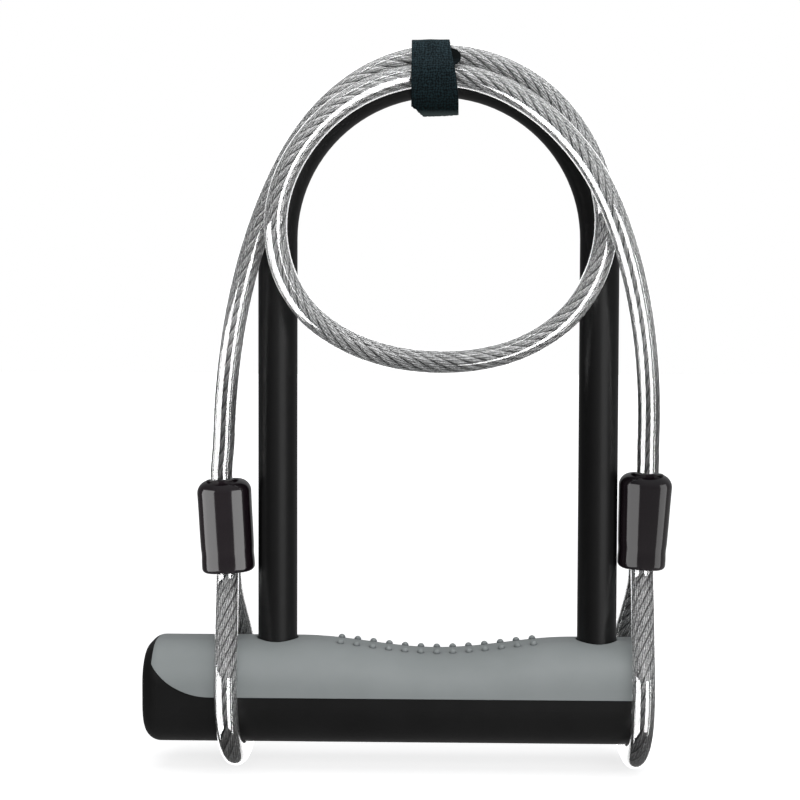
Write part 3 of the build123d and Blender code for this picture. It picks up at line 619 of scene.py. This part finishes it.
slot_of = {part["node"]: part["material_slot"] for part in frame["record"]["subparts"]}
for name, ob in NODES.items():
    ob.data.materials.clear()
    ob.data.materials.append(MATS[slot_of[name]])


def dress(ob, slot, body=None):
    """Give a piece its material and, if it moves with one body, that body."""
    ob.data.materials.append(MATS[slot])
    if body:
        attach(ob, body)
    return ob


# ------------------------------------------------------------------ cable
def tube_mesh(stations, base):
    """Closed tube along the stations, drawn in at both ends and capped."""
    sides = SHEATH_SIDES
    q = line[stations]
    angle = np.linspace(0, 2 * math.pi, sides, endpoint=False)
    ring = (normals[stations][:, None, :] * np.cos(angle)[None, :, None]
            + binormals[stations][:, None, :] * np.sin(angle)[None, :, None])
    lip_r = CABLE_R * 0.90
    rows = [q[0] + ring[0] * lip_r]
    rows += [q[i] + ring[i] * CABLE_R for i in range(len(stations))]
    rows += [q[-1] + ring[-1] * lip_r]
    verts = np.concatenate(rows)
    faces = [tuple(reversed(f)) for f in grid_faces(len(rows), sides, base=base)]
    start_centre, end_centre = base + len(verts), base + len(verts) + 1
    last_row = base + (len(rows) - 1) * sides
    for j in range(sides):
        k = (j + 1) % sides
        faces.append((base + j, base + k, start_centre))
        faces.append((last_row + k, last_row + j, end_centre))
    return np.concatenate([verts, q[:1], q[-1:]]), faces


def sheath(name, *spans):
    """Clear sheath over one or more spans of stations."""
    verts, faces, base = [], [], 0
    for first, last in spans:
        stations = np.unique(np.r_[np.arange(first, last, SHEATH_STRIDE), last])
        tube_verts, tube_faces = tube_mesh(stations, base)
        verts.append(tube_verts)
        faces += tube_faces
        base += len(tube_verts)
    return dress(mesh_object(name, np.concatenate(verts), faces), "clear_vinyl")


def rope(name, first, last):
    """Six strands of six wires round a core, laid along the cable."""
    stations = np.arange(first, last + 1, ROPE_STRIDE)
    s, q = arc[stations], line[stations]
    e1, e2 = normals[stations], binormals[stations]
    tracks = [(q, CORE_R, CORE_SIDES)]
    for k in range(6):
        turn = 2 * math.pi * k / 6 + 2 * math.pi * s / ROPE_LAY
        outward = e1 * np.cos(turn)[:, None] + e2 * np.sin(turn)[:, None]
        around = -e1 * np.sin(turn)[:, None] + e2 * np.cos(turn)[:, None]
        centre = q + outward * STRAND_ORBIT
        tracks.append((centre, STRAND_CORE_R, WIRE_SIDES))
        for j in range(6):
            twist = 2 * math.pi * j / 6 - 2 * math.pi * s / WIRE_LAY
            offset = outward * np.cos(twist)[:, None] + around * np.sin(twist)[:, None]
            tracks.append((centre + offset * WIRE_ORBIT, WIRE_R, WIRE_SIDES))
    verts, faces, base = [], [], 0
    for centre, radius, sides in tracks:
        direction = unit(np.gradient(centre, axis=0))
        n1 = unit(e1 - direction * np.sum(e1 * direction, axis=1)[:, None])
        n2 = np.cross(direction, n1)
        angle = np.linspace(0, 2 * math.pi, sides, endpoint=False)
        ring = centre[:, None, :] + radius * (n1[:, None, :] * np.cos(angle)[None, :, None]
                                              + n2[:, None, :] * np.sin(angle)[None, :, None])
        faces += [tuple(reversed(f)) for f in grid_faces(len(centre), sides, base=base)]
        faces.append(tuple(base + j for j in range(sides)))
        faces.append(tuple(base + (len(centre) - 1) * sides + j for j in reversed(range(sides))))
        verts.append(ring.reshape(-1, 3))
        base += len(verts[-1])
    return dress(mesh_object(name, np.concatenate(verts), faces), "rope_steel")


# the run from the left end to the strap, the coil, and the run from the strap to the right end
sheath_left = sheath("cable_sheath_run_left", (left_tail, left_rise), (left_drop, strap_upper))
sheath_coil = sheath("cable_sheath_coil_full", (strap_upper, strap_lower))
sheath_right = sheath("cable_sheath_run_right", (strap_lower, right_drop),
                      (right_rise, right_tail))
rope_left = rope("cable_rope_run_left", 0, strap_upper)
rope_coil = rope("cable_rope_coil_full", strap_upper, strap_lower)
rope_right = rope("cable_rope_run_right", strap_lower, len(line) - 1)
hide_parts("cable_sheath_eye_left", "cable_sheath_drop_left")
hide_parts("cable_sheath_eye_right", "cable_sheath_drop_right")
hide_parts("cable_sheath_coil")
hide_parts("cable_rope_left")
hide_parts("cable_rope_right")
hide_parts("cable_rope_coil")
# the runs stretch between the crossbar and the shackle, so they are left on neither body
for ob in (sheath_left, rope_left):
    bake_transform(ob)
for ob in (sheath_right, rope_right):
    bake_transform(ob)
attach(sheath_coil, "shackle")
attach(rope_coil, "shackle")

# ------------------------------------------------------------------ boots
BOOT_SIDES = 96
BOOT_SQUARENESS = 2.45            # exponent of the superellipse outline; 2 is an ellipse
MOUTH_R, MOUTH_DEPTH = 4.5, 4.6
FOOT_ROUND, SHOULDER_ROUND = 1.7, 4.6
NECK_DEPTH = 4.0
# Lip round the cable: height above the boot's top, half width, half depth, exponent, y.
LIP = [
    (0.05, 6.1, 6.0, 2.1, -STRAND_Y * 0.75), (0.45, 5.5, 5.5, 2.0, -STRAND_Y),
    (0.5, 4.9, 4.9, 2.0, -STRAND_Y), (0.2, 4.42, 4.42, 2.0, -STRAND_Y),
    (-NECK_DEPTH, 4.42, 4.42, 2.0, -STRAND_Y),
]


def boot(side):
    """Rounded block with soft shoulders, a slight waist, a lip and an open mouth below."""
    eye = EYES[side]
    top = eye["height"]
    tilt = math.radians(eye["tilt"])
    angle = np.linspace(0, 2 * math.pi, BOOT_SIDES, endpoint=False)
    cos, sin = np.cos(angle), np.sin(angle)
    (foot_width, top_width), (foot_depth, top_depth) = eye["width"], eye["depth"]

    def place(s, x, y):
        """Boot coordinates (height s, x, y) turned by the tilt."""
        return np.stack([eye["x"] + math.cos(tilt) * x + -math.sin(tilt) * s, y,
                         eye["z"] + math.sin(tilt) * x + math.cos(tilt) * s], 1)

    def outline(s, a, b, power=BOOT_SQUARENESS, y=0.0):
        r = (np.abs(cos) ** power + np.abs(sin) ** power) ** (-1 / power)
        return place(s, a * r * cos, y + b * r * sin)

    def slot(s, r):
        """Mouth outline, long enough along Y for both strands."""
        return place(s, r * cos, r * sin + STRAND_Y * np.sign(sin) * np.minimum(1, np.abs(sin) * 6))

    def half_sizes(s):
        f = smooth01(s / top)
        waist = (0.16 * math.exp(-((s - 6.6) / 1.9) ** 2)
                 + 0.10 * math.exp(-((s - 25) / 7.0) ** 2))
        return (foot_width / 2 + (top_width / 2 - foot_width / 2) * f - waist,
                foot_depth / 2 + (top_depth / 2 - foot_depth / 2) * f - waist)

    # inside of the mouth and its rim
    rows = [slot(MOUTH_DEPTH, MOUTH_R), slot(0.9, MOUTH_R), slot(0.25, MOUTH_R + 0.25)]
    # flat of the foot and its rounded edge
    a, b = half_sizes(0)
    rows.append(outline(0.0, a - 2.3, b - 2.0))
    for k in range(6):
        q = math.pi / 2 * k / 5
        inset = FOOT_ROUND * (1 - math.sin(q))
        rows.append(outline(FOOT_ROUND * (1 - math.cos(q)), a - inset, b - inset))
    # outside wall
    for s in np.linspace(2.6, top - 5.2, 24):
        rows.append(outline(s, *half_sizes(s)))
    # shoulder, slightly rounder in plan towards the top
    a, b = half_sizes(top - SHOULDER_ROUND)
    for k in range(11):
        q = math.pi / 2 * k / 10
        inset = SHOULDER_ROUND * (1 - math.cos(q))
        rows.append(outline(top - SHOULDER_ROUND + SHOULDER_ROUND * math.sin(q),
                            a - inset, b - inset, BOOT_SQUARENESS - 0.2 * k / 10))
    # lip and inside of the neck
    for rise, a, b, power, y in LIP:
        rows.append(outline(top + rise, a, b, power, y))
    verts = np.concatenate(rows)
    faces = grid_faces(len(rows), BOOT_SIDES)
    # close the body inside so that it is one solid
    mouth_centre, neck_centre = len(verts), len(verts) + 1
    last_row = (len(rows) - 1) * BOOT_SIDES
    for j in range(BOOT_SIDES):
        k = (j + 1) % BOOT_SIDES
        faces.append((mouth_centre, k, j))
        faces.append((neck_centre, last_row + j, last_row + k))
    verts = np.concatenate([verts, [axis_point(eye, MOUTH_DEPTH, 0.0)],
                            [axis_point(eye, top - NECK_DEPTH, -STRAND_Y)]])
    ob = mesh_object("boot_moulded_" + side, verts, faces)
    dress(ob, "boot_gloss", "crossbar")
    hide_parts("boot_" + side)


boot("left")
boot("right")


# ------------------------------------------------------------------ strap
def tape_rows():
    """Outer points, inner points and UVs (x and length along, mm), a row per tape station."""
    lengths_along, path_y, path_z, normal_y, normal_z, lapped = tape
    v = np.linspace(-1, 1, TAPE_COLUMNS + 1)     # left edge to right edge
    thin_edge = np.exp(-((1 - np.abs(v)) / 0.10))
    thick = TAPE_THICK / 2 * (1 - 0.28 * thin_edge)
    # uneven cut at the free end, stepped away at its left corner
    rng = np.random.default_rng(7)
    jag = np.interp(v, np.linspace(-1, 1, 21), rng.normal(0, 0.10, 21))
    corner = np.clip((-0.50 - v) / 0.50, 0, 1)
    cut = (3.8 * (0.4 * corner + 0.6 * np.ceil(corner * 5) / 5) + np.abs(jag) * 1.2
           + 0.55 * (1 + v) / 2)
    outer, inner, uvs = [], [], []
    for u, y, z, ny, nz, lap in zip(lengths_along, path_y, path_z, normal_y, normal_z, lapped):
        # the outer lap widens to the free end; the inner lap peeps out on the right at the top
        end = smooth01((u - (TAPE_LENGTH - 34)) / 30.0)
        peep = max(0.0, 1 - ((z - 249.6) / 3.6) ** 2) ** 0.5 * (u < 20.0)
        right = lap * (3.6 + 3.3 * end) + (1 - lap) * (3.0 + 4.7 * peep)
        x = (TAPE_LEFT + right) / 2 + v * ((right - TAPE_LEFT) / 2)
        ripple = 0.06 * np.sin(v * 5.1 + u * 0.35) + 0.05 * np.sin(u * 0.9 + 2 * v)
        curl = 0.35 * end * (v ** 2) * smooth01((u - (TAPE_LENGTH - TAPE_TAIL)) / 8.0)
        beyond = np.maximum(0, u - (TAPE_LENGTH - cut))          # drawn back up to the cut
        row_y = y + ny * ripple - curl
        row_z = z + nz * ripple + beyond
        outer.append(np.stack([x, row_y + ny * thick, row_z + nz * thick], 1))
        inner.append(np.stack([x, row_y - ny * thick, row_z - nz * thick], 1))
        uvs.append(np.stack([x, u - beyond], 1))
    return outer, inner, uvs


def strap():
    """One tape lapped over itself, its free end hanging in front."""
    outer, inner, uvs = tape_rows()
    rows, cols = len(outer), TAPE_COLUMNS + 1
    off = rows * cols                            # first vertex of the inner face
    faces = []
    for a, b, c, d in grid_faces(rows, cols, closed=False):
        faces += [(a, b, c, d), (off + d, off + c, off + b, off + a)]
    for i in range(rows - 1):                    # long edges
        a, d = i * cols, (i + 1) * cols
        b, c = a + cols - 1, d + cols - 1
        faces += [(a, d, off + d, off + a), (c, b, off + b, off + c)]
    k = (rows - 1) * cols
    for j in range(cols - 1):                    # ends
        faces.append((j + 1, j, off + j, off + j + 1))
        faces.append((k + j, k + j + 1, off + k + j + 1, off + k + j))
    ob = mesh_object("strap_tape", np.concatenate(outer + inner), faces)
    uv = np.concatenate(uvs * 2)
    layer = ob.data.uv_layers.new(name="tape")
    corners = np.zeros(len(ob.data.loops), np.int32)
    ob.data.loops.foreach_get("vertex_index", corners)
    layer.data.foreach_set("uv", uv[corners].astype(np.float32).ravel())
    dress(ob, "strap_fabric", "shackle")
    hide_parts("strap")


strap()

for ob in NODES.values():                        # the CAD pieces still shown
    if not ob.hide_render:
        shade_smooth(ob.data)


# ------------------------------------------------------------------ floor and world, metres
def floor_material():
    """Pale floor that glows where the camera sees it, fading to white far away."""
    m = Mat("mat_floor")
    m.set(color=0.86, rough=0.9, spec=0.1)
    far = m.node("VectorMath", m.place, operation="LENGTH").outputs["Value"]
    glow = m.node("Emission", 1.0, m.map_range(far, (0.45, 1.30), (0.74, 1.0)))
    lit = m.node("AddShader", m.principled, glow)
    m.surface(m.node("MixShader", m.seen_directly(), m.principled, lit))
    return m.material


def stage_floor(half=6.0, gap=0.0005):
    """Square floor, a small gap below the pieces."""
    z = cad_lo.z - gap
    mesh = bpy.data.meshes.new("floor")
    mesh.from_pydata([(-half, -half, z), (half, -half, z), (half, half, z), (-half, half, z)],
                     [], [(0, 1, 2, 3)])
    ob = bpy.data.objects.new("floor", mesh)
    scene.collection.objects.link(ob)
    ob.data.materials.append(floor_material())
    ob.visible_glossy = False
    ob.visible_shadow = False
    ob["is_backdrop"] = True
    return ob


def studio_world():
    """White where seen directly, soft grey for all light that bounces."""
    world = bpy.data.worlds.new("studio")
    scene.world = world
    w = Nodes(world, "OutputWorld")
    direction = w.node("SeparateXYZ", w.coords["Generated"]).outputs
    # bright bounce from below, darker round the horizon, lighter overhead
    sky = w.ramp(w.map_range(direction[2], (-1, 1)),
                 (0.40, 0.62), (0.50, (0.50, 0.50, 0.51)), (1.0, (0.90, 0.91, 0.93)))
    # the studio is darker on its left side
    strength = w.map_range(direction[0], (-1.0, 0.1), (0.16, 0.40), smooth=True)
    soft = w.node("Background", sky, strength)
    white = w.node("Background", 1.0, 1.0)
    w.surface(w.node("MixShader", w.seen_directly(), soft, white))


floor = stage_floor()
studio_world()


# ------------------------------------------------------------------ lights
def soft_box(name, azimuth, elevation, distance, width, height, radiance, target):
    """Area light seen from its target at an azimuth (from the front, + to the right)."""
    az, el = math.radians(azimuth), math.radians(elevation)
    target = Vector(target)
    data = bpy.data.lights.new(name, "AREA")
    data.shape = "RECTANGLE"
    data.size, data.size_y = width, height
    data.energy = radiance * math.pi * width * height
    lamp = bpy.data.objects.new(name, data)
    scene.collection.objects.link(lamp)
    lamp.location = target + distance * Vector(
        (math.sin(az) * math.cos(el), -math.cos(az) * math.cos(el), math.sin(el)))
    lamp.visible_camera = False
    lamp.rotation_mode = "QUATERNION"
    lamp.rotation_quaternion = (target - lamp.location).to_track_quat("-Z", "Y")
    return lamp


def light_only(lamp, objects):
    """The light falls on these objects and no others."""
    receivers = bpy.data.collections.new("lit_by_" + lamp.name)
    for ob in objects:
        receivers.objects.link(ob)
    lamp.light_linking.receiver_collection = receivers


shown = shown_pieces()
boots = [ob for ob in shown if ob.name.startswith("boot_")]
boot_left = [ob for ob in boots if ob.name.endswith("left")]
boot_right = [ob for ob in boots if ob.name.endswith("right")]
vinyl = [ob for ob in shown if ob.name.startswith("cable_sheath_")]
ropes = [ob for ob in shown if ob.name.startswith("cable_rope_")]
grip = [ob for ob in shown if ob.name == "grip_cover"]
rest = [ob for ob in shown if ob not in boots] + [floor]

MIDDLE, LEFT, RIGHT = (-0.014, 0, 0.12), (-0.078, 0, 0.095), (0.077, 0, 0.095)
# name, azimuth, elevation (degrees), distance, width, height (m), radiance, target, receivers
LIGHTS = [
    ("front_fill", -4, 30, 1.9, 1.4, 0.9, 1.2, MIDDLE, rest),
    ("top", 0, 84, 1.2, 1.6, 1.2, 0.75, MIDDLE, rest),
    ("side_right", 32, 8, 1.4, 1.00, 1.3, 0.95, MIDDLE, rest),
    ("boot_left_a", -59, -5, 0.85, 1.16, 1.15, 2.7, LEFT, boot_left),
    ("boot_left_b", 54, -5, 1.0, 1.10, 1.15, 2.8, LEFT, boot_left),
    ("boot_right_a", -56, -5, 0.9, 1.30, 1.15, 1.9, RIGHT, boot_right),
    ("boot_right_b", 70, -5, 1.0, 0.80, 1.15, 1.4, RIGHT, boot_right),
    ("grip_key", 16, 46, 0.8, 0.09, 0.09, 30.0, MIDDLE, grip),
    ("vinyl_left_box", -60, -19, 1.08, 1.00, 0.96, 13.0, MIDDLE, vinyl),
    ("vinyl_left_edge", -96, -20, 1.1, 0.30, 0.95, 7.0, MIDDLE, vinyl),
    ("vinyl_right_box", 30, -17, 1.25, 0.66, 1.08, 13.0, MIDDLE, vinyl),
    ("vinyl_right_edge", 62, -20, 1.2, 0.16, 1.0, 9.0, MIDDLE, vinyl),
    ("vinyl_over", -20, 62, 1.0, 0.50, 0.10, 8.0, MIDDLE, vinyl),
    ("vinyl_back", 180, 0, 1.5, 3.0, 3.0, 2.2, MIDDLE, vinyl),
    ("rope_top", -8, 70, 1.1, 1.2, 0.6, 13.0, MIDDLE, ropes),
]
for *placing, receivers in LIGHTS:
    lamp = soft_box(*placing)
    if receivers is vinyl:                       # not seen through the vinyl itself
        lamp.visible_transmission = False
    light_only(lamp, receivers)

# ------------------------------------------------------------------ camera
SENSOR_WIDTH = 36.0               # mm
CAMERA_DISTANCE = 0.600           # m, from the aim point
FRAMED_WIDTH = 0.296              # m, seen across the frame at that distance
AIM = Vector((-0.0140, 0.0, 0.1265))
PITCH, YAW, ROLL = math.radians(2.3), math.radians(1.3), math.radians(0.19)

cam_data = bpy.data.cameras.new("camera")
cam_data.sensor_width = SENSOR_WIDTH
cam_data.lens = SENSOR_WIDTH * CAMERA_DISTANCE / FRAMED_WIDTH
cam_data.clip_start, cam_data.clip_end = 0.05, 20.0
cam = bpy.data.objects.new("camera", cam_data)
scene.collection.objects.link(cam)
towards_camera = Vector((math.sin(YAW) * math.cos(PITCH), -math.cos(YAW) * math.cos(PITCH),
                         math.sin(PITCH)))
cam.location = AIM + towards_camera * CAMERA_DISTANCE
cam.rotation_mode = "QUATERNION"
cam.rotation_quaternion = ((-towards_camera).to_track_quat("-Z", "Y")
                           @ Quaternion((0, 0, 1), ROLL))
scene.camera = cam
scene.view_settings.view_transform = "Standard"
scene.view_settings.look = "None"
